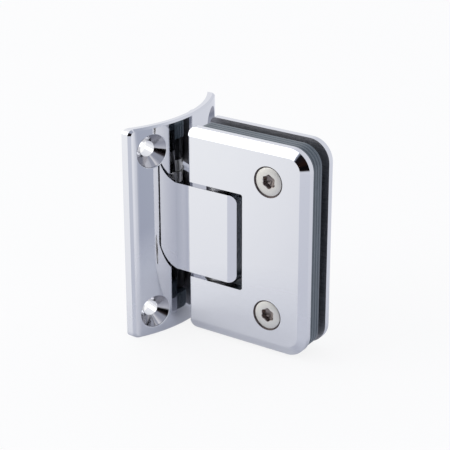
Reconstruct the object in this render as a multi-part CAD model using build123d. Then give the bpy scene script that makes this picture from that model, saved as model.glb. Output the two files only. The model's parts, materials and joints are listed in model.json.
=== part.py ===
from build123d import *
import math
import os

# Glass door hinge, wall to glass. Millimetres. X runs from the wall to the glass, Y through
# the glass and Z up. The origin is the middle of the wall plate's mounting face, on the wall.

# Wall plate, an arched plate with bosses behind its holes and a pad behind the block
wall_height = 90.0
wall_width = 59.0
wall_stand_off = 12.2
wall_thickness = 2.5
wall_front_radius = 55.5
wall_back_radius = 49.0
wall_corner_radius = 2.5
wall_edge_bevel = 0.85
fixing_hole_diameter = 6.4
fixing_countersink_diameter = 13.4
fixing_countersink_sink = 0.5
fixing_rim_rounding = 0.4
fixing_boss_diameter = 10.0
fixing_hole_side_inset = 8.8
fixing_hole_end_inset = 10.3
pad_width = 20.0
pad_margin = 1.5

# Clamp plates, gaskets and the glass that they grip
clamp_height = 87.0
clamp_width = 55.0
clamp_to_wall = 5.4
plate_thickness = 3.9
glass_thickness = 8.0
gasket_thickness = 1.85
gasket_count = 4
gasket_inset = 0.5
gasket_hinge_corner = 4.0
gasket_edge_break = 0.3
gasket_clearance = 0.8
bevel_width = 3.7
bevel_depth = 1.25
outer_corner_radius = 9.0
hinge_corner_radius = 2.5
hinge_edge_radius = 0.6

# Centre block and the notch that it stands in
block_height = 37.6
block_reach = 27.4
block_bevel_width = 3.6
block_corner_radius = 3.5
notch_side_gap = 1.75
notch_end_gap = 3.4
notch_corner_radius = 1.0

# Pivot pin and its bearings
pivot_to_wall = 14.0
pin_diameter = 10.0
pin_flat_distance = 4.2
pin_flat_length = 15.4
pin_key_distance = 3.6
pin_end_chamfer = 0.6
bearing_clearance = 0.05
bearing_wall = 1.4
bearing_length = 9.5
bearing_recess = 0.3
bore_clearance = 0.4
collar_wall = 0.6
collar_length = 5.0
collar_rounding = 0.5
end_play = 0.15
fit_clearance = 0.02

# Pin holders between the clamp plates
holder_length = 9.4
holder_cap = 1.2
holder_reach = 8.0
holder_key_depth = 0.6
holder_key_inset = 1.0
set_screw_diameter = 4.0
set_screw_length = 4.2
set_screw_socket = 2.0

# Pressure bar and springs behind the pin
bar_height = 14.4
bar_width = 8.0
bar_depth = 4.5
bar_edge_break = 0.4
bar_pin_gap = 0.3
bar_slot_clearance = 0.1
spring_diameter = 5.6
spring_wire = 1.1
spring_turns = 4.5
spring_spacing = 7.4
spring_pocket_depth = 2.5
spring_pocket_clearance = 0.2
spring_seat_gap = 0.1

# Clamp screws, countersunk with a hex socket, and the sleeves round them
clamp_screw_x = 37.2
clamp_screw_end_inset = 15.2
clamp_screw_diameter = 6.0
clamp_screw_length = 16.0
clamp_head_diameter = 11.6
clamp_head_rim = 0.2
clamp_head_sink = 0.4
clamp_socket = 3.8
clamp_socket_depth = 2.4
clamp_hole_diameter = 6.6
boss_diameter = 9.0
boss_height = 5.0
thread_floor = 1.0
sleeve_wall = 1.4
sleeve_clearance = 0.1

# Screws that hold the block to the wall plate
block_screw_z = 13.4
block_screw_diameter = 5.0
block_screw_length = 18.0
block_head_diameter = 9.2
block_head_rim = 0.2
block_head_sink = 0.3
block_socket = 3.0
block_socket_depth = 1.8
screw_tip_chamfer = 0.6
screw_end_gap = 0.4

# Places worked out from the sizes
wall_axis_x = wall_stand_off - wall_front_radius
wall_back_axis_x = wall_stand_off - wall_thickness - wall_back_radius
fixing_hole_y = wall_width / 2 - fixing_hole_side_inset
fixing_hole_z = wall_height / 2 - fixing_hole_end_inset
plate_gap = glass_thickness + 2 * gasket_thickness
inner_face = plate_gap / 2
outer_face = inner_face + plate_thickness
clamp_left = wall_stand_off + clamp_to_wall
block_top = block_height / 2
block_right = wall_stand_off + block_reach
notch_right = block_right + notch_end_gap
notch_top = block_top + notch_side_gap
pivot_x = wall_stand_off + pivot_to_wall
pin_radius = pin_diameter / 2
screw_x = clamp_left + clamp_screw_x
clamp_screw_z = clamp_height / 2 - clamp_screw_end_inset
bearing_radius = pin_radius + bearing_clearance + bearing_wall
holder_bottom = block_top + collar_length + end_play
holder_top = holder_bottom + holder_length
holder_right = pivot_x + holder_reach
pin_top = holder_top - holder_cap
bar_front = pivot_x - pin_radius - bar_pin_gap
bar_back = bar_front - bar_depth
clamp_head_recess = clamp_head_sink + clamp_head_rim + fit_clearance
clamp_countersink_diameter = clamp_head_diameter + 2 * clamp_head_recess
sleeve_inner_radius = boss_diameter / 2 + sleeve_clearance
sleeve_outer_radius = sleeve_inner_radius + sleeve_wall
through = 200.0


def block_between(low, high):
    """Box from one corner to the opposite one."""
    size = [high[i] - low[i] for i in range(3)]
    middle = [(high[i] + low[i]) / 2 for i in range(3)]
    return Pos(*middle) * Box(*size)


def upright(radius, low, high):
    """Cylinder about the pivot axis between two heights."""
    return Pos(pivot_x, 0, (low + high) / 2) * Cylinder(radius, high - low)


def facing_front(x, y, z):
    """Location whose local Z points out of the hinge's front, along -Y."""
    return Pos(x, y, z) * Rot(90, 0, 0)


def countersunk_hole(hole_diameter, rim_diameter, length):
    """Cutter for a countersunk hole that enters at local Z = 0 and goes down."""
    hole = hole_diameter / 2
    rim = rim_diameter / 2
    points = [(0, 1), (rim, 1), (rim, 0), (hole, hole - rim), (hole, -length), (0, -length)]
    profile = Polyline(*points, close=True)
    return revolve(Plane.XZ * make_face(profile), Axis.Z)


def countersunk_screw(diameter, length, head_diameter, head_rim, socket, socket_depth):
    """Countersunk hex socket screw with the top of its head at local Z = 0."""
    shank = diameter / 2
    head = head_diameter / 2
    neck = head_rim + head - shank
    tip = shank - screw_tip_chamfer
    profile = Polyline(
        (0, 0),
        (head, 0),
        (head, -head_rim),
        (shank, -neck),
        (shank, screw_tip_chamfer - length),
        (tip, -length),
        (0, -length),
        close=True,
    )
    screw = revolve(Plane.XZ * make_face(profile), Axis.Z)
    hexagon = RegularPolygon(socket / 2, 6, major_radius=False)
    return screw - Pos(0, 0, -socket_depth) * extrude(hexagon, socket_depth)


def wall_plate():
    """Arched plate with bevelled front edges and four countersunk holes square to its face."""
    outline = RectangleRounded(wall_width, wall_height, wall_corner_radius)
    plate = extrude(Plane.YZ * outline, wall_stand_off, both=True)
    plate &= Pos(wall_axis_x, 0, 0) * Cylinder(wall_front_radius, wall_height)
    front = plate.faces().filter_by(GeomType.CYLINDER).sort_by(SortBy.AREA)[-1]
    plate = chamfer(front.outer_wire().edges(), wall_edge_bevel)
    plate -= Pos(wall_back_axis_x, 0, 0) * Cylinder(wall_back_radius, through)
    half_width = pad_width / 2
    pad_front = wall_stand_off - wall_thickness / 2
    pad_top = block_screw_z + block_head_diameter / 2 + pad_margin
    plate += block_between((0, -half_width, -pad_top), (pad_front, half_width, pad_top))
    reach = 2 * wall_stand_off
    boss = Pos(0, 0, -wall_thickness / 2) * Cylinder(
        fixing_boss_diameter / 2, reach, align=(Align.CENTER, Align.CENTER, Align.MAX)
    )
    hole = countersunk_hole(fixing_hole_diameter, fixing_countersink_diameter, 2 * reach)
    for place in fixing_hole_places():
        plate += place * boss
    for place in fixing_hole_places():
        plate -= place * Pos(0, 0, -fixing_countersink_sink) * hole
    plate = fillet(fixing_rims(plate), fixing_rim_rounding)
    plate -= block_between((-through, -through, -through), (0, through, through))
    for z in (-block_screw_z, block_screw_z):
        plate -= block_screw_place(z) * block_screw_hole()
    return plate


def fixing_hole_places():
    """The four places on the front face where a fixing screw enters, square to the curve."""
    angle = math.degrees(math.asin(fixing_hole_y / wall_front_radius))
    places = []
    for turn in (-angle, angle):
        for z in (-fixing_hole_z, fixing_hole_z):
            turned = Rot(0, 0, turn) * Pos(wall_front_radius, 0, 0) * Rot(0, 90, 0)
            places.append(Pos(wall_axis_x, 0, z) * turned)
    return places


def fixing_rims(plate):
    """The edges where the countersinks meet the plate's curved front."""
    front = plate.faces().filter_by(GeomType.CYLINDER).sort_by(SortBy.AREA)[-1]
    rims = []
    for wire in front.inner_wires():
        rims += wire.edges()
    return rims


def block_screw_place(z):
    """Where a block screw's head lies, just inside the mounting face."""
    return Pos(block_head_sink, 0, z) * Rot(0, -90, 0)


def block_screw_hole():
    """Countersunk hole for a block screw, and its tapped length."""
    head = block_head_diameter + 2 * (block_head_rim + fit_clearance)
    shank = block_screw_diameter + 2 * fit_clearance
    return countersunk_hole(shank, head, block_screw_length + screw_end_gap)


def block_screw():
    """Screw from behind the wall plate into the block."""
    return countersunk_screw(
        block_screw_diameter,
        block_screw_length,
        block_head_diameter,
        block_head_rim,
        block_socket,
        block_socket_depth,
    )


def centre_block():
    """Block that fits the plate's curve, bored for the pin and slotted for the pressure bar."""
    outline = block_between((0, -outer_face, -block_top), (block_right, outer_face, block_top))
    corners = outline.edges().filter_by(Axis.Y).group_by(Axis.X)[-1]
    block = fillet(corners, block_corner_radius)
    bevel = Polyline(
        (block_right - block_bevel_width, outer_face),
        (block_right + 1, outer_face - bevel_depth * (1 + 1 / block_bevel_width)),
        (block_right + 1, outer_face + 1),
        (block_right - block_bevel_width, outer_face + 1),
        close=True,
    )
    cutter = extrude(make_face(bevel), block_top, both=True)
    block -= cutter
    block -= mirror(cutter, Plane.XZ)
    block -= Pos(wall_axis_x, 0, 0) * Cylinder(wall_front_radius, through)
    block -= upright(pin_radius + bore_clearance, -block_top, block_top)
    bearing_end = block_top - bearing_recess - bearing_length
    for low, high in ((bearing_end, block_top), (-block_top, -bearing_end)):
        block -= upright(bearing_radius + fit_clearance, low, high)
    half_width = bar_width / 2 + bar_slot_clearance
    half_height = bar_height / 2 + bar_slot_clearance
    block -= block_between((0, -half_width, -half_height), (pivot_x, half_width, half_height))
    for z in (-block_screw_z, block_screw_z):
        block -= block_screw_place(z) * block_screw_hole()
    return block


def bearing_sleeve():
    """Plain bearing pressed into the top of the block's bore."""
    top = block_top - bearing_recess
    sleeve = upright(bearing_radius, top - bearing_length, top)
    return sleeve - upright(pin_radius + bearing_clearance, top - bearing_length, top)


def pressure_bar():
    """Bar that bears on the pin's flats, with a pocket in its back for each spring."""
    half_width = bar_width / 2
    half_height = bar_height / 2
    bar = block_between((bar_back, -half_width, -half_height), (bar_front, half_width, half_height))
    bar = chamfer(bar.edges().group_by(Axis.X)[-1], bar_edge_break)
    for z in (-spring_spacing / 2, spring_spacing / 2):
        pocket = Cylinder(spring_diameter / 2 + spring_pocket_clearance, spring_pocket_depth)
        bar -= Pos(bar_back + spring_pocket_depth / 2, 0, z) * Rot(0, 90, 0) * pocket
    return bar


def spring():
    """Coil spring between the wall plate and the pocket in the pressure bar."""
    start = wall_stand_off + spring_seat_gap
    end = bar_back + spring_pocket_depth - spring_seat_gap
    height = end - start - spring_wire
    coil = Helix(height / spring_turns, height, (spring_diameter - spring_wire) / 2)
    section = Plane(origin=coil @ 0, z_dir=coil % 0) * Circle(spring_wire / 2)
    wire = sweep(section, path=coil)
    return Pos(start + spring_wire / 2, 0, spring_spacing / 2) * Rot(0, 90, 0) * wire


def pivot_pin():
    """Pin with four flats at mid height and two keying flats at each end."""
    pin = chamfer(Cylinder(pin_radius, 2 * pin_top).edges(), pin_end_chamfer)
    around = Cylinder(pin_diameter, pin_flat_length)
    pin -= around - Box(2 * pin_flat_distance, 2 * pin_flat_distance, pin_flat_length)
    for side in (-1, 1):
        key_length = pin_top - holder_bottom
        place = Pos(0, 0, side * (holder_bottom + key_length / 2))
        flats = Box(2 * pin_key_distance, pin_diameter, key_length)
        pin -= place * (Cylinder(pin_diameter, key_length) - flats)
    return Pos(pivot_x, 0, 0) * pin


def thrust_collar():
    """Collar on the pin between the block and the holder, rounded at the holder's end."""
    low = block_top + end_play
    collar = upright(pin_radius + bearing_clearance + collar_wall, low, holder_bottom)
    collar = fillet(collar.edges().group_by(Axis.Z)[-1], collar_rounding)
    return collar - upright(pin_radius + bearing_clearance, low, holder_bottom)


def holder_key(clearance):
    """Raised pad that seats the holder in a pocket of the front plate."""
    inset = holder_key_inset - clearance
    return block_between(
        (pivot_x + inset, -inner_face - holder_key_depth, holder_bottom + inset),
        (holder_right - inset, -inner_face, holder_top - inset),
    )


def pin_holder():
    """Moulded holder for the end of the pin, gripped between the two clamp plates."""
    body = upright(inner_face, holder_bottom, holder_top)
    body += block_between((pivot_x, -inner_face, holder_bottom), (holder_right, inner_face, holder_top))
    body += holder_key(0)
    socket = Cylinder(pin_radius + fit_clearance, pin_top - holder_bottom)
    socket &= Box(2 * (pin_key_distance + fit_clearance), pin_diameter + 1, pin_top - holder_bottom)
    body -= Pos(pivot_x, 0, (holder_bottom + pin_top) / 2) * socket
    return body - set_screw_place() * Pos(0, 0, -set_screw_length) * Cylinder(
        set_screw_diameter / 2 + fit_clearance,
        holder_reach,
        align=(Align.CENTER, Align.CENTER, Align.MIN),
    )


def set_screw_place():
    """Outer end of a set screw whose tip stands on the pin's keying flat."""
    z = (holder_bottom + pin_top) / 2
    return Pos(pivot_x + pin_key_distance + fit_clearance + set_screw_length, 0, z) * Rot(0, 90, 0)


def set_screw():
    """Headless screw that locks the pin in its holder."""
    align = (Align.CENTER, Align.CENTER, Align.MAX)
    screw = Cylinder(set_screw_diameter / 2, set_screw_length, align=align)
    screw = chamfer(screw.edges().group_by(Axis.Z)[0], screw_tip_chamfer)
    depth = set_screw_length / 2
    hexagon = RegularPolygon(set_screw_socket / 2, 6, major_radius=False)
    return set_screw_place() * (screw - Pos(0, 0, -depth) * extrude(hexagon, depth))


def clamp_outline(inset, hinge_radius):
    """Outline of a clamp plate or gasket seen from the front, drawn in X and Z."""
    width = clamp_width - 2 * inset
    height = clamp_height - 2 * inset
    outline = Rectangle(width, height)
    outline = fillet(outline.vertices().group_by(Axis.X)[-1], outer_corner_radius - inset)
    if hinge_radius > 0:
        outline = fillet(outline.vertices().group_by(Axis.X)[0], hinge_radius)
    return Pos(clamp_left + clamp_width / 2, 0) * outline


def plate_blank():
    """Front clamp plate before its holes: bevelled on three sides, square on the hinge side."""
    blank = extrude(Plane.XZ * clamp_outline(0, 0), plate_thickness)
    blank = Pos(0, -inner_face, 0) * blank
    front = blank.faces().sort_by(Axis.Y)[0]
    outer = front.edges().sort_by(Axis.X)[1:]
    blank = chamfer(outer, bevel_width, bevel_depth, reference=front)
    corners = blank.edges().filter_by(Axis.Y).group_by(Axis.X)[0]
    blank = fillet(corners, hinge_corner_radius)
    blank -= notch_cutter(0)
    front = blank.faces().sort_by(Axis.Y)[0]
    hinge_side = front.edges().filter_by(Axis.Z).group_by(Axis.X)[0]
    return fillet(hinge_side, hinge_edge_radius)


def notch_cutter(clearance):
    """Space that the block stands in, open towards the wall."""
    cutter = block_between(
        (0, -through, -notch_top - clearance), (notch_right + clearance, through, notch_top + clearance)
    )
    return fillet(cutter.edges().filter_by(Axis.Y).group_by(Axis.X)[-1], notch_corner_radius)


def front_clamp_plate():
    """Front plate with two countersunk holes, and pockets inside for the pin holders."""
    plate = plate_blank()
    hole = countersunk_hole(clamp_hole_diameter, clamp_countersink_diameter, plate_thickness + 1)
    for z in (-clamp_screw_z, clamp_screw_z):
        plate -= facing_front(screw_x, -outer_face, z) * hole
    pocket = holder_key(fit_clearance)
    plate -= pocket
    return plate - mirror(pocket, Plane.XY)


def back_clamp_plate():
    """Back plate with a tapped boss inside for each clamp screw, closed on the outside."""
    plate = mirror(plate_blank(), Plane.XZ)
    thread_length = boss_height + plate_thickness - thread_floor
    thread = Cylinder(clamp_screw_diameter / 2 + fit_clearance, thread_length)
    for z in (-clamp_screw_z, clamp_screw_z):
        place = facing_front(screw_x, inner_face - boss_height / 2, z)
        plate += place * Cylinder(boss_diameter / 2, boss_height)
        plate -= facing_front(screw_x, inner_face - boss_height + thread_length / 2, z) * thread
    return plate


def glass_gasket(number):
    """One gasket of the stack, cut clear of the block, the pin holders and the sleeves."""
    gasket = extrude(Plane.XZ * clamp_outline(gasket_inset, gasket_hinge_corner), gasket_thickness)
    rims = gasket.faces().filter_by(Axis.Y)
    gasket = chamfer(rims[0].edges() + rims[1].edges(), gasket_edge_break)
    gasket -= notch_cutter(gasket_clearance)
    reach = holder_top + gasket_clearance
    gasket -= block_between((0, -through, -reach), (holder_right + gasket_clearance, through, reach))
    for z in (-clamp_screw_z, clamp_screw_z):
        hole = Cylinder(sleeve_outer_radius + gasket_edge_break, through)
        gasket -= facing_front(screw_x, 0, z) * hole
    return Pos(0, -inner_face + number * gasket_thickness, 0) * gasket


def screw_sleeve():
    """Sleeve round the boss and the screw, which keeps them off the edge of the glass hole."""
    sleeve = Cylinder(sleeve_outer_radius, plate_gap) - Cylinder(sleeve_inner_radius, plate_gap)
    return facing_front(screw_x, 0, clamp_screw_z) * sleeve


def clamp_screw():
    """Screw from the front plate into the back plate's boss."""
    screw = countersunk_screw(
        clamp_screw_diameter,
        clamp_screw_length,
        clamp_head_diameter,
        clamp_head_rim,
        clamp_socket,
        clamp_socket_depth,
    )
    return facing_front(screw_x, -outer_face + clamp_head_sink, clamp_screw_z) * screw


nodes = {
    "wall_plate": wall_plate(),
    "centre_block": centre_block(),
    "pressure_bar": pressure_bar(),
    "pivot_pin": pivot_pin(),
    "front_clamp_plate": front_clamp_plate(),
    "back_clamp_plate": back_clamp_plate(),
}
pairs = {
    "block_screw": block_screw_place(block_screw_z) * block_screw(),
    "bearing_sleeve": bearing_sleeve(),
    "spring": spring(),
    "thrust_collar": thrust_collar(),
    "pin_holder": pin_holder(),
    "set_screw": set_screw(),
    "clamp_screw": clamp_screw(),
    "screw_sleeve": screw_sleeve(),
}
for name, piece in pairs.items():
    nodes["upper_" + name] = piece
    nodes["lower_" + name] = mirror(piece, Plane.XY)
for number in range(gasket_count):
    nodes["glass_gasket_" + str(number + 1)] = glass_gasket(number + 1)

os.makedirs("parts", exist_ok=True)
for name, piece in nodes.items():
    export_step(piece, "parts/" + name + ".step")
    print(name, round(piece.volume, 1))
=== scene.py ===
import bmesh
import bpy
import json
import math
from mathutils import Matrix, Vector


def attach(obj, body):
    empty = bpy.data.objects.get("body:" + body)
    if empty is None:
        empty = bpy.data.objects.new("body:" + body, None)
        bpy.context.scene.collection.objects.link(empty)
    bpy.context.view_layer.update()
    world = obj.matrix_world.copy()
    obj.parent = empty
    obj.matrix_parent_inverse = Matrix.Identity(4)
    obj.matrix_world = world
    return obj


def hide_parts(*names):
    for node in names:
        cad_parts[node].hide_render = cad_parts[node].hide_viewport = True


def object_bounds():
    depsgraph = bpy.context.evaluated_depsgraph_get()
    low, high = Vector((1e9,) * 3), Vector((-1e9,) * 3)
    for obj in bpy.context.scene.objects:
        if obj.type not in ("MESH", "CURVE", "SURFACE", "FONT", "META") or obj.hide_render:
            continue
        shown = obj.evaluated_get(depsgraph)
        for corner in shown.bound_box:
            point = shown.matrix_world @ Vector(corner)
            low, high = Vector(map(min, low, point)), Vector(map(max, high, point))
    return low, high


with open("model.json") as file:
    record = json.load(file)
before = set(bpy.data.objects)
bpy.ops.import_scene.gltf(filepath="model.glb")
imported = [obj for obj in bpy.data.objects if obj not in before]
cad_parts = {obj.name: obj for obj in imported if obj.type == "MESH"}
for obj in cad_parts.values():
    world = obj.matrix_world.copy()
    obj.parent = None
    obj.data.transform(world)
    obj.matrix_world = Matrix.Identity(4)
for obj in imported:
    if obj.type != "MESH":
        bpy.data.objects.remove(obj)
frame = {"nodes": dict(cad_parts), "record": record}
cad_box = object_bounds()
nodes = frame["nodes"]
scene = bpy.context.scene
scene.view_settings.view_transform = "Standard"


# Camera. It stands to the front right of the hinge and looks down on it, with a long lens, as a
# catalogue photographer would set it.
camera_place = (0.34502, -0.47083, 0.24098)
yaw, pitch, roll = math.radians(33.921), math.radians(-22.926), math.radians(-0.131)
camera_data = bpy.data.cameras.new("camera")
camera_data.sensor_width = 36
camera_data.lens = 122.37
camera = bpy.data.objects.new("camera", camera_data)
scene.collection.objects.link(camera)
scene.camera = camera
level = Vector((math.cos(yaw), math.sin(yaw), 0))
ahead = Vector((-math.sin(yaw) * math.cos(pitch), math.cos(yaw) * math.cos(pitch), math.sin(pitch)))
upward = level.cross(ahead)
right = level * math.cos(roll) + upward * math.sin(roll)
upward = upward * math.cos(roll) - level * math.sin(roll)
turn = Matrix((right, upward, -ahead)).transposed().to_4x4()
camera.matrix_world = Matrix.Translation(camera_place) @ turn


# Floor. The hinge stands on white paper. The camera sees it as nearly plain white with a soft
# shadow. Metal sees the paper close by, in the hinge's own shade, and the studio farther off.
floor_reach = 3
floor_gap = 0.0002
floor_mesh = bpy.data.meshes.new("floor")
shape = bmesh.new()
bmesh.ops.create_grid(shape, x_segments=1, y_segments=1, size=floor_reach)
bmesh.ops.translate(shape, vec=(0, 0, cad_box[0][2] - floor_gap), verts=shape.verts)
shape.to_mesh(floor_mesh)
shape.free()
floor = bpy.data.objects.new("floor", floor_mesh)
scene.collection.objects.link(floor)


def colour(code):
    """An sRGB hex colour as linear red, green, blue and alpha."""
    parts = [int(code[i:i + 2], 16) / 255 for i in (0, 2, 4)]
    return [p / 12.92 if p <= 0.04045 else ((p + 0.055) / 1.055) ** 2.4 for p in parts] + [1.0]


def add(tree, kind, inputs=(), stops=(), **settings):
    """Adds a node. Inputs take a link or a value, and stops are a ramp's positions and colours."""
    node = tree.nodes.new(kind)
    for name, value in settings.items():
        socket = node.inputs.get(name.replace("_", " "))
        if socket is not None:
            socket.default_value = value
        else:
            setattr(node, name, value)
    for name, source in dict(inputs).items():
        if isinstance(source, bpy.types.NodeSocket):
            tree.links.new(source, node.inputs[name])
        else:
            node.inputs[name].default_value = source
    if stops:
        elements = node.color_ramp.elements
        for _ in stops[2:]:
            elements.new(1.0)
        for element, (position, code) in zip(elements, stops):
            element.position = position
            element.color = colour(code)
    return node


def bare_finish(name):
    """A new material, its empty node tree, and the Object coordinates of the piece that wears it."""
    material = bpy.data.materials.new(name)
    material.use_nodes = True
    tree = material.node_tree
    tree.nodes.clear()
    place = add(tree, "ShaderNodeTexCoord")
    return material, tree, place.outputs["Object"]


camera_white = 0.86
paper_within, studio_from = 0.03, 0.085
paper, tree, place = bare_finish("white_paper_sweep")
path = add(tree, "ShaderNodeLightPath")
matt = add(tree, "ShaderNodeBsdfDiffuse", Color=colour("F4F4F6"))
white = add(tree, "ShaderNodeEmission", Color=colour("FFFFFF"), Strength=1.0)
shown = add(
    tree, "ShaderNodeMath", {0: path.outputs["Is Camera Ray"], 1: camera_white},
    operation="MULTIPLY",
)
seen = add(
    tree, "ShaderNodeMixShader", {0: shown.outputs[0], 1: matt.outputs[0], 2: white.outputs[0]},
)
middle = (cad_box[0][0] + cad_box[1][0]) / 2
centred = add(
    tree, "ShaderNodeMapping", {"Vector": place}, Location=(-middle, 0, -cad_box[0][2]),
)
away = add(tree, "ShaderNodeVectorMath", {0: centred.outputs["Vector"]}, operation="LENGTH")
far = add(
    tree, "ShaderNodeValToRGB", {"Fac": away.outputs["Value"]},
    [(paper_within, "A0A0A0"), (studio_from, "FFFFFF")],
)
clear = add(tree, "ShaderNodeBsdfTransparent")
shaded = add(tree, "ShaderNodeBsdfDiffuse", Color=colour("F6F7FB"))
near = add(
    tree, "ShaderNodeMixShader",
    {0: far.outputs["Color"], 1: shaded.outputs[0], 2: clear.outputs[0]},
)
mixed = add(
    tree, "ShaderNodeMixShader",
    {0: path.outputs["Is Glossy Ray"], 1: seen.outputs[0], 2: near.outputs[0]},
)
add(tree, "ShaderNodeOutputMaterial", {"Surface": mixed.outputs[0]})
floor_mesh.materials.append(paper)


# Studio. Pale card stands all round, whitest at the left and greyest at the right, with a dark
# gap along the horizon at the front and a dark flag on end in that. The camera sees plain white.
world = bpy.data.worlds.new("studio")
world.use_nodes = True
scene.world = world
tree = world.node_tree
tree.nodes.clear()
path = add(tree, "ShaderNodeLightPath")
place = add(tree, "ShaderNodeTexCoord")
direction = add(tree, "ShaderNodeSeparateXYZ", {"Vector": place.outputs["Generated"]})
# A bearing runs from 0 at the left (-X) by way of the front (-Y, 0.25) and the right (+X, 0.5)
# round to 1, and a height from 0 straight down to 1 straight up.
angle = add(
    tree, "ShaderNodeMath", {0: direction.outputs["Y"], 1: direction.outputs["X"]},
    operation="ARCTAN2",
)
bearing = add(
    tree, "ShaderNodeMapRange", {"Value": angle.outputs[0]},
    From_Min=-math.pi, From_Max=math.pi,
)
height = add(
    tree, "ShaderNodeMapRange", {"Value": direction.outputs["Z"]}, From_Min=-1, From_Max=1,
)
card = add(
    tree, "ShaderNodeValToRGB", {"Fac": bearing.outputs["Result"]},
    [(0.0, "FAFAFB"), (0.13, "FFFFFF"), (0.157, "FAFBFC"), (0.17, "EBECF0"), (0.205, "CACDD8"),
     (0.25, "DDDFE7"), (0.29, "D2D5DE"), (0.37, "C4C8D3"), (0.42, "DEE0E8"), (0.448, "F0F1F5"),
     (0.476, "F0F1F5"), (0.487, "ACB1BF"), (0.57, "B0B5C2"), (0.65, "DEE0E7"), (0.80, "D6D8E0"),
     (0.86, "EDEEF2"), (1.0, "FAFAFB")],
)
fall = add(
    tree, "ShaderNodeValToRGB", {"Fac": height.outputs["Result"]},
    [(0.0, "B4B6BE"), (0.12, "C6C8D0"), (0.25, "E6E7EC"), (0.30, "F6F6F8"), (0.34, "FFFFFF"),
     (1.0, "FFFFFF")],
)
gap_width = add(
    tree, "ShaderNodeValToRGB", {"Fac": bearing.outputs["Result"]},
    [(0.165, "000000"), (0.185, "FFFFFF"), (0.35, "FFFFFF"), (0.44, "000000")],
)
gap_height = add(
    tree, "ShaderNodeValToRGB", {"Fac": height.outputs["Result"]},
    [(0.372, "FFFFFF"), (0.392, "1E1614"), (0.44, "0E0E10"), (0.49, "2A1A14"),
     (0.575, "1C1B1E"), (0.588, "D2D4DA")],
)
flag_width = add(
    tree, "ShaderNodeValToRGB", {"Fac": bearing.outputs["Result"]},
    [(0.262, "000000"), (0.28, "FFFFFF"), (0.345, "FFFFFF"), (0.365, "000000")],
)
flag_height = add(
    tree, "ShaderNodeValToRGB", {"Fac": height.outputs["Result"]},
    [(0.36, "FFFFFF"), (0.40, "33251F"), (0.55, "241C1A"), (0.66, "4A3C38"), (0.74, "FFFFFF")],
)
room = add(
    tree, "ShaderNodeMix", {0: 1.0, 6: card.outputs["Color"], 7: fall.outputs["Color"]},
    data_type="RGBA", blend_type="MULTIPLY",
)
for width, tall in ((gap_width, gap_height), (flag_width, flag_height)):
    shade = add(
        tree, "ShaderNodeMix",
        {0: width.outputs["Color"], 6: colour("FFFFFF"), 7: tall.outputs["Color"]},
        data_type="RGBA",
    )
    room = add(
        tree, "ShaderNodeMix", {0: 1.0, 6: room.outputs[2], 7: shade.outputs[2]},
        data_type="RGBA", blend_type="MULTIPLY",
    )
around = add(tree, "ShaderNodeBackground", {"Color": room.outputs[2]}, Strength=1.15)
plain = add(tree, "ShaderNodeBackground", Color=colour("FFFFFF"), Strength=1.0)
mixed = add(
    tree, "ShaderNodeMixShader",
    {0: path.outputs["Is Camera Ray"], 1: around.outputs[0], 2: plain.outputs[0]},
)
add(tree, "ShaderNodeOutputWorld", {"Surface": mixed.outputs[0]})

# One wide soft lamp at the front left, a little above the hinge and facing it.
lamp_side = Vector((-0.64, -0.63, 0.40)).normalized()
lamp_distance, lamp_width, lamp_height = 1.6, 2.2, 1.1
radiance = 1.15
lamp_data = bpy.data.lights.new("front_lamp", "AREA")
lamp_data.shape = "RECTANGLE"
lamp_data.size = lamp_width
lamp_data.size_y = lamp_height
lamp_data.energy = radiance * math.pi * lamp_width * lamp_height
lamp = bpy.data.objects.new("front_lamp", lamp_data)
scene.collection.objects.link(lamp)
facing = lamp_side.to_track_quat("Z", "Y").to_matrix().to_4x4()
lamp.matrix_world = Matrix.Translation(lamp_side * lamp_distance) @ facing


# Wall plate, centre block and both clamp plates: cast and machined brass, chrome plated. They are
# ground and buffed before plating, so they mirror the studio with a faint waviness and haze from
# the buffing wheel. The wheel doesn't reach into the countersinks, which keep their turned look,
# and their plating is painted darker there, as painted shade in the recess.
def chrome_plate(name):
    """Buffed chrome, and those of its nodes that the wall plate adds to."""
    haze_size, wave_length = 0.0111, 0.0143
    material, tree, place = bare_finish(name)
    haze = add(
        tree, "ShaderNodeTexNoise", {"Vector": place},
        Scale=1 / haze_size, Detail=3, Roughness=0.6,
    )
    rough = add(
        tree, "ShaderNodeMapRange", {"Value": haze.outputs["Fac"]},
        From_Min=0.3, From_Max=0.7, To_Min=0.02, To_Max=0.05,
    )
    wave = add(
        tree, "ShaderNodeTexNoise", {"Vector": place},
        Scale=1 / wave_length, Detail=1, Roughness=0.4,
    )
    ripple = add(
        tree, "ShaderNodeBump", {"Height": wave.outputs["Fac"]}, Strength=0.02, Distance=0.001,
    )
    metal = add(
        tree, "ShaderNodeBsdfPrincipled",
        {"Roughness": rough.outputs["Result"], "Normal": ripple.outputs["Normal"]},
        Base_Color=colour("DEDFE3"), Metallic=1.0,
    )
    add(tree, "ShaderNodeOutputMaterial", {"Surface": metal.outputs[0]})
    return material, tree, place, rough, ripple, metal


# The fixing holes stand square to the arched front, the same in all four quarters of the plate.
# So the absolute coordinates are measured from one hole's axis, where it leaves the front.
sink_radius = 0.0068
rim_rounding = 0.0006
arch_radius = 0.0555
plate_front = max(corner[0] for corner in nodes["wall_plate"].bound_box)
hole = next(m for m in frame["record"]["mounts"] if m["name"] == "upper_back_fixing_hole")
hole_axis = Vector(hole["axis"])
arch_middle = Vector((plate_front - arch_radius, 0, hole["pos_m"][2]))
hole_middle = arch_middle + arch_radius * hole_axis
wall_chrome, tree, place, rough, ripple, metal = chrome_plate("buffed_chrome_with_turned_sinks_painted_shade")
quarter = add(tree, "ShaderNodeVectorMath", {0: place}, operation="ABSOLUTE")
from_hole = add(
    tree, "ShaderNodeVectorMath", {0: quarter.outputs[0], 1: hole_middle}, operation="SUBTRACT",
)
across = add(
    tree, "ShaderNodeVectorMath", {0: from_hole.outputs[0], 1: hole_axis},
    operation="CROSS_PRODUCT",
)
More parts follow.
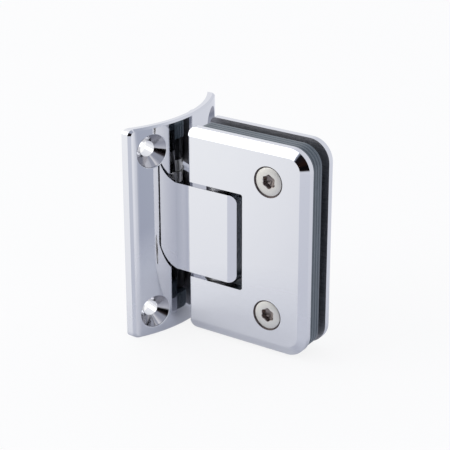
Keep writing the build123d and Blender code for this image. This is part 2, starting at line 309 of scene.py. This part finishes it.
radius = add(tree, "ShaderNodeVectorMath", {0: across.outputs[0]}, operation="LENGTH")
above = add(
    tree, "ShaderNodeVectorMath", {0: from_hole.outputs[0], 1: hole_axis},
    operation="DOT_PRODUCT",
)
within = add(
    tree, "ShaderNodeMath", {0: radius.outputs["Value"], 1: sink_radius}, operation="LESS_THAN",
)
# The countersink is a cone of 90 degrees, so radius and depth add up to no more than its rim's
# radius, with a little room for the rounding of the rim.
reach = add(
    tree, "ShaderNodeMath", {0: radius.outputs["Value"], 1: above.outputs["Value"]},
    operation="SUBTRACT",
)
in_cone = add(
    tree, "ShaderNodeMath", {0: reach.outputs[0], 1: sink_radius + rim_rounding},
    operation="LESS_THAN",
)
inside = add(
    tree, "ShaderNodeMath", {0: within.outputs[0], 1: in_cone.outputs[0]}, operation="MULTIPLY",
)
sink_roughness = 0.07
duller = add(
    tree, "ShaderNodeMath", {0: inside.outputs[0], 1: sink_roughness, 2: rough.outputs["Result"]},
    operation="MULTIPLY_ADD",
)
tree.links.new(duller.outputs[0], metal.inputs["Roughness"])
# The countersinks' plating is painted darker than the buffed face: painted shade in the recess.
plating_and_sink_shade = add(
    tree, "ShaderNodeValToRGB", {"Fac": inside.outputs[0]}, [(0.0, "DEDFE3"), (1.0, "C6C5C8")],
)
tree.links.new(plating_and_sink_shade.outputs["Color"], metal.inputs["Base Color"])
# The tool marks are drawn 0.4 mm apart, coarser than real ones, so that they show.
tool_pitch = 0.0004
turns = add(
    tree, "ShaderNodeMath", {0: radius.outputs["Value"], 1: 2 * math.pi / tool_pitch},
    operation="MULTIPLY",
)
groove = add(tree, "ShaderNodeMath", {0: turns.outputs[0]}, operation="SINE")
cut = add(
    tree, "ShaderNodeMath", {0: groove.outputs[0], 1: inside.outputs[0]}, operation="MULTIPLY",
)
marks = add(
    tree, "ShaderNodeBump", {"Height": cut.outputs[0], "Normal": ripple.outputs["Normal"]},
    Strength=0.25, Distance=0.00001,
)
tree.links.new(marks.outputs["Normal"], metal.inputs["Normal"])
nodes["wall_plate"].data.materials[0] = wall_chrome

chrome = chrome_plate("buffed_chrome_plate")[0]


def buffed_copy(name, body):
    """The node's own shape as one closed skin, with mirror-flat faces up to its sharp edges."""
    same_plane = math.radians(0.3)
    sharp_from = math.radians(17.5)
    shape = bmesh.new()
    shape.from_mesh(nodes[name].data)
    bmesh.ops.remove_doubles(shape, verts=shape.verts, dist=1e-6)
    bmesh.ops.dissolve_limit(
        shape, angle_limit=same_plane, verts=shape.verts, edges=shape.edges,
        use_dissolve_boundaries=False, delimit={"NORMAL"},
    )
    for face in shape.faces:
        face.smooth = True
    for edge in shape.edges:
        edge.smooth = edge.calc_face_angle(0) < sharp_from
    mesh = bpy.data.meshes.new(name + "_buffed")
    shape.to_mesh(mesh)
    shape.free()
    mesh.materials.append(chrome)
    piece = bpy.data.objects.new(name + "_buffed", mesh)
    scene.collection.objects.link(piece)
    weighted = piece.modifiers.new("flat_faces_stay_flat", "WEIGHTED_NORMAL")
    weighted.mode = "FACE_AREA"
    weighted.weight = 100
    weighted.keep_sharp = True
    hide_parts(name)
    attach(piece, body)
    return piece


buffed_copy("centre_block", "wall_side")
front = buffed_copy("front_clamp_plate", "glass_clamp")
back = buffed_copy("back_clamp_plate", "glass_clamp")

# The faces towards the glass are ground flat and plated without buffing. The grinding marks run
# across the plate, and the plating there is painted grey as painted shade in the gap between the
# plates. The marks are drawn coarser than real ones, to show.
mark_length, mark_gap = 0.00333, 0.000333
ground, tree, place = bare_finish("ground_inner_face_painted_gap_shade")
drawn_out = add(
    tree, "ShaderNodeMapping", {"Vector": place}, Scale=(1 / mark_length, 1 / mark_gap, 1 / mark_gap),
)
streak = add(
    tree, "ShaderNodeTexNoise", {"Vector": drawn_out.outputs["Vector"]}, Scale=1.0, Detail=2,
)
# The grey tint is painted shade in the gap between the clamp plates.
tint = add(
    tree, "ShaderNodeValToRGB", {"Fac": streak.outputs["Fac"]}, [(0.3, "A6A5A9"), (0.7, "C6C5C9")],
)
scratch = add(
    tree, "ShaderNodeBump", {"Height": streak.outputs["Fac"]}, Strength=0.3, Distance=0.00005,
)
metal = add(
    tree, "ShaderNodeBsdfPrincipled",
    {"Base Color": tint.outputs["Color"], "Normal": scratch.outputs["Normal"]},
    Metallic=1.0, Roughness=0.45,
)
add(tree, "ShaderNodeOutputMaterial", {"Surface": metal.outputs[0]})
for plate, inward in ((front, 1), (back, -1)):
    plate.data.materials.append(ground)
    for face in plate.data.polygons:
        if face.normal.y * inward > 0.9:
            face.material_index = 1


# The screw recesses in the front clamp plate are too narrow for the buffing wheel, so the plating
# in them stays dull. Their dark colour is painted shade in the recesses, with a fine mottle that is
# drawn coarser than it is, to show.
def mottled_finish(name, grain_size, stops, detail=2, **finish):
    """A finish whose colour wanders between two tints, over grains of the given size."""
    material, tree, place = bare_finish(name)
    grain = add(tree, "ShaderNodeTexNoise", {"Vector": place}, Scale=1 / grain_size, Detail=detail)
    tint = add(tree, "ShaderNodeValToRGB", {"Fac": grain.outputs["Fac"]}, stops)
    skin = add(tree, "ShaderNodeBsdfPrincipled", {"Base Color": tint.outputs["Color"]}, **finish)
    add(tree, "ShaderNodeOutputMaterial", {"Surface": skin.outputs[0]})
    return material


recess_radius = 0.0064
recess_painted_shade = mottled_finish(
    "chrome_recess_painted_shade", 0.00067, [(0.3, "4A4241"), (0.7, "6A6160")], Metallic=1.0, Roughness=0.42,
)
front.data.materials.append(recess_painted_shade)


def ends_of(name):
    """The lowest and highest corner of a node's box."""
    corners = [Vector(corner) for corner in nodes[name].bound_box]
    low = Vector([min(c[i] for c in corners) for i in range(3)])
    high = Vector([max(c[i] for c in corners) for i in range(3)])
    return low, high


# The faces round each screw head get the painted shade of the recess.
for side in ("upper_", "lower_"):
    low, high = ends_of(side + "clamp_screw")
    for face in front.data.polygons:
        offset = face.center - (low + high) / 2
        if math.hypot(offset.x, offset.z) < recess_radius:
            face.material_index = 2


# Clamp screws and thrust collars: turned stainless steel, left with a fine satin finish that
# looks warm and off-white beside the chrome. Its grain is drawn coarser than it is, to show.
grain_size = 0.000556
satin, tree, place = bare_finish("satin_stainless_steel")
grain = add(tree, "ShaderNodeTexNoise", {"Vector": place}, Scale=1 / grain_size, Detail=3)
rough = add(
    tree, "ShaderNodeMapRange", {"Value": grain.outputs["Fac"]}, To_Min=0.32, To_Max=0.5,
)
pit = add(
    tree, "ShaderNodeBump", {"Height": grain.outputs["Fac"]}, Strength=0.15, Distance=0.0001,
)
metal = add(
    tree, "ShaderNodeBsdfPrincipled",
    {"Roughness": rough.outputs["Result"], "Normal": pit.outputs["Normal"]},
    Base_Color=colour("E4E2DC"), Metallic=1.0,
)
add(tree, "ShaderNodeOutputMaterial", {"Surface": metal.outputs[0]})
for side in ("upper_", "lower_"):
    nodes[side + "thrust_collar"].data.materials[0] = satin

# The inside of a screw's socket is left as it was struck, and is painted darker than the head:
# painted shade in the socket.
socket_painted_shade = mottled_finish(
    "steel_socket_painted_shade", 0.0005, [(0.3, "8E8480"), (0.7, "A9A09C")], Metallic=1.0, Roughness=0.3,
)


# The screws are turned again here from the head's rim inwards and outwards, because their sockets
# are lobed and larger than the plain hexagon of the solids.
def screw_ring(shape, loop, radius, depth, lobe=0.0, in_socket=False):
    """Extrudes a loop of edges to a ring at another radius and depth, lobed six times round."""
    made = bmesh.ops.extrude_edge_only(shape, edges=loop)["geom"]
    for vert in [g for g in made if isinstance(g, bmesh.types.BMVert)]:
        angle = math.atan2(vert.co.z, vert.co.x)
        reach = radius - lobe * math.cos(6 * angle)
        vert.co = (reach * math.cos(angle), depth, reach * math.sin(angle))
    for face in [g for g in made if isinstance(g, bmesh.types.BMFace)]:
        face.material_index = 1 if in_socket else 0
    return [g for g in made if isinstance(g, bmesh.types.BMEdge) and g.is_boundary]


head_edge, head_turn, head_rim, head_depth = 0.00025, 0.00007, 0.0002, 0.003
shank_radius, tip_chamfer = 0.003, 0.0006
mouth_radius, mouth_depth, mouth_lobe = 0.0028, 0.00002, 0.0002
lip_radius, lip_depth = 0.00258, 0.00022
socket_radius, socket_depth, socket_lobe = 0.00254, 0.0024, 0.00026
drill_radius, drill_depth = 0.0008, 0.003
for side in ("upper_", "lower_"):
    low, high = ends_of(side + "clamp_screw")
    head_radius = (high.x - low.x) / 2
    screw_length = high.y - low.y
    shape = bmesh.new()
    bmesh.ops.create_circle(shape, cap_ends=False, radius=head_radius - head_edge, segments=96)
    bmesh.ops.rotate(shape, verts=shape.verts, matrix=Matrix.Rotation(math.radians(90), 3, "X"))
    inner = screw_ring(shape, list(shape.edges), mouth_radius, mouth_depth, mouth_lobe)
    for radius, depth, lobe in (
        (lip_radius, lip_depth, socket_lobe), (socket_radius, socket_depth, socket_lobe),
        (drill_radius, drill_depth, 0.0),
    ):
        inner = screw_ring(shape, inner, radius, depth, lobe, in_socket=True)
    bmesh.ops.holes_fill(shape, edges=inner)
    outer = [e for e in shape.edges if e.is_boundary]
    for radius, depth in (
        (head_radius - head_turn, head_turn), (head_radius, head_rim), (shank_radius, head_depth),
        (shank_radius, screw_length - tip_chamfer), (shank_radius - tip_chamfer, screw_length),
    ):
        outer = screw_ring(shape, outer, radius, depth)
    bmesh.ops.holes_fill(shape, edges=outer)
    head_middle = ((low.x + high.x) / 2, low.y, (low.z + high.z) / 2)
    bmesh.ops.translate(shape, vec=head_middle, verts=shape.verts)
    bmesh.ops.recalc_face_normals(shape, faces=shape.faces)
    for face in shape.faces:
        face.smooth = True
    for edge in shape.edges:
        edge.smooth = edge.is_manifold and edge.calc_face_angle() < math.radians(32)
    mesh = bpy.data.meshes.new(side + "clamp_screw_turned")
    shape.to_mesh(mesh)
    shape.free()
    mesh.materials.append(satin)
    # The second material paints shade inside the sockets.
    mesh.materials.append(socket_painted_shade)
    screw = bpy.data.objects.new(side + "clamp_screw_turned", mesh)
    scene.collection.objects.link(screw)
    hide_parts(side + "clamp_screw")
    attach(screw, "glass_clamp")


# Pin, pressure bar, springs and hidden screws: hardened and ground steel, darker than the
# stainless and slightly oily. Its grain is drawn coarser than it is, to show.
grain_size = 0.00111
ground_steel, tree, place = bare_finish("ground_hard_steel")
grain = add(tree, "ShaderNodeTexNoise", {"Vector": place}, Scale=1 / grain_size, Detail=2)
rough = add(
    tree, "ShaderNodeMapRange", {"Value": grain.outputs["Fac"]}, To_Min=0.2, To_Max=0.36,
)
metal = add(
    tree, "ShaderNodeBsdfPrincipled", {"Roughness": rough.outputs["Result"]},
    Base_Color=colour("B4B2AE"), Metallic=1.0,
)
add(tree, "ShaderNodeOutputMaterial", {"Surface": metal.outputs[0]})
steel_nodes = ["pivot_pin", "pressure_bar"]
for side in ("upper_", "lower_"):
    steel_nodes += [side + "spring", side + "block_screw", side + "set_screw"]
for name in steel_nodes:
    nodes[name].data.materials[0] = ground_steel


# Pin holders: black acetal mouldings, held between the clamp plates. They are nearly black and
# half dull, with the faint pebble of the mould.
pebble_size = 0.0004
black, tree, place = bare_finish("black_acetal")
pebble = add(tree, "ShaderNodeTexNoise", {"Vector": place}, Scale=1 / pebble_size, Detail=2)
bump = add(
    tree, "ShaderNodeBump", {"Height": pebble.outputs["Fac"]}, Strength=0.2, Distance=0.0001,
)
plastic = add(
    tree, "ShaderNodeBsdfPrincipled", {"Normal": bump.outputs["Normal"]},
    Base_Color=colour("19191B"), Roughness=0.42, IOR=1.48,
)
add(tree, "ShaderNodeOutputMaterial", {"Surface": plastic.outputs[0]})
for side in ("upper_", "lower_"):
    nodes[side + "pin_holder"].data.materials[0] = black


# Bearing sleeves and screw sleeves: natural white acetal, turned from rod. It is milky and a
# little waxy, with faint clouds of 3 mm.
milky = mottled_finish(
    "natural_acetal", 0.00333, [(0.0, "DCDBD4"), (1.0, "EAE9E3")], Roughness=0.38, IOR=1.48,
)
for side in ("upper_", "lower_"):
    nodes[side + "bearing_sleeve"].data.materials[0] = milky
    nodes[side + "screw_sleeve"].data.materials[0] = milky


# Glass gaskets: four sheets of soft clear PVC, punched to shape and stacked. They are thick enough
# edge on to look blue-grey, with faint clouds of 4 mm in the plastic.
pvc = mottled_finish(
    "clear_grey_pvc", 0.004, [(0.0, "48525A"), (1.0, "5B6770")], detail=3, Roughness=0.3, IOR=1.53,
)
for number in range(1, 5):
    nodes["glass_gasket_%d" % number].data.materials[0] = pvc
